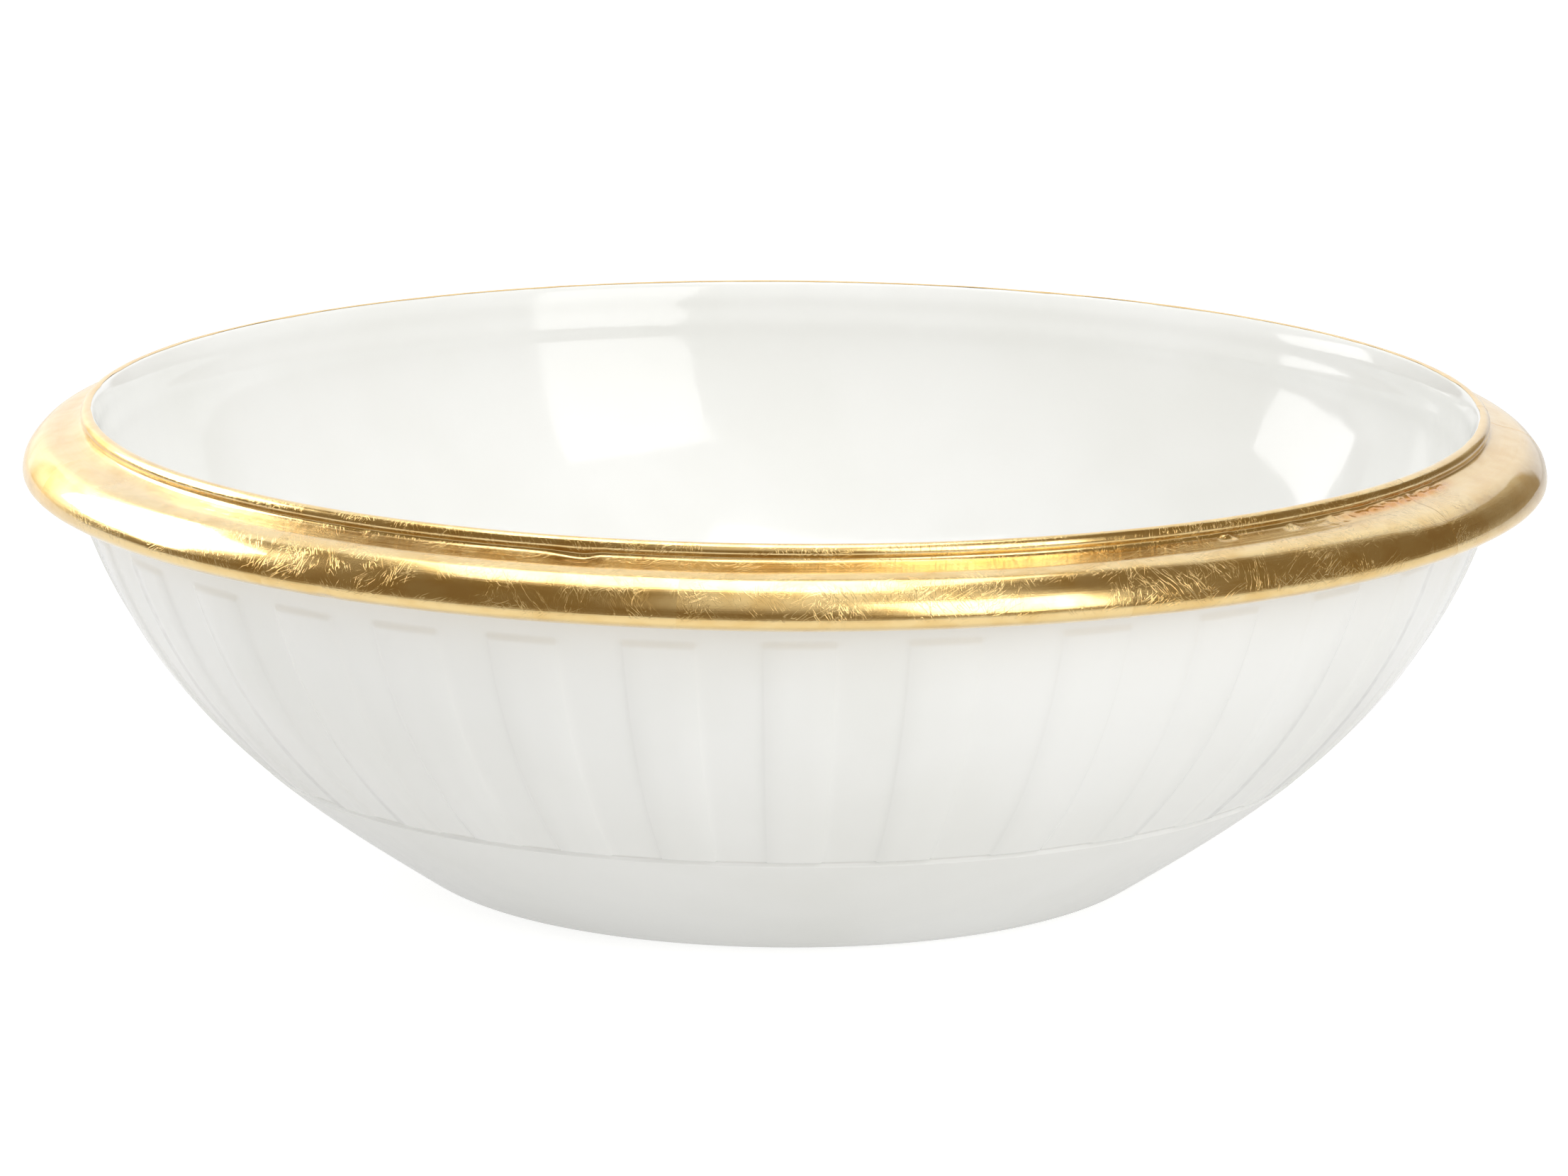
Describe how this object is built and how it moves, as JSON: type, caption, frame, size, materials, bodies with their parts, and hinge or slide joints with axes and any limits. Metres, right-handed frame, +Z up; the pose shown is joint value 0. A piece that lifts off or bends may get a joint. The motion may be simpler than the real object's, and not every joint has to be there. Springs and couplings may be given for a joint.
{
  "type": "serving bowl",
  "caption": "Round porcelain serving bowl with a fluted outer wall, a gilded rolled rim and a low foot, for serving or display.",
  "frame": {"origin": "centre of the foot's resting face", "axes": "+Z up along the bowl's axis, -Y towards the front of the bowl, +X to its right"},
  "size_m": [0.406, 0.4058, 0.127],
  "materials": {
    "glazed_porcelain": "clear gloss glaze over white porcelain",
    "biscuit_porcelain": "unglazed fired porcelain, rubbed smooth",
    "rim_porcelain": "fired porcelain under the gilding, sealed with size",
    "gold_leaf": "hand-laid gold leaf under clear lacquer"
  },
  "bodies": {
    "root": {"bowl_shell": "glazed_porcelain", "foot_ring": "biscuit_porcelain", "rim_roll": "rim_porcelain", "gilding_leaf_01": "gold_leaf", "gilding_leaf_02": "gold_leaf", "gilding_leaf_03": "gold_leaf", "gilding_leaf_04": "gold_leaf", "gilding_leaf_05": "gold_leaf", "gilding_leaf_06": "gold_leaf", "gilding_leaf_07": "gold_leaf", "gilding_leaf_08": "gold_leaf", "gilding_leaf_09": "gold_leaf", "gilding_leaf_10": "gold_leaf", "gilding_leaf_11": "gold_leaf"}
  },
  "joints": []
}
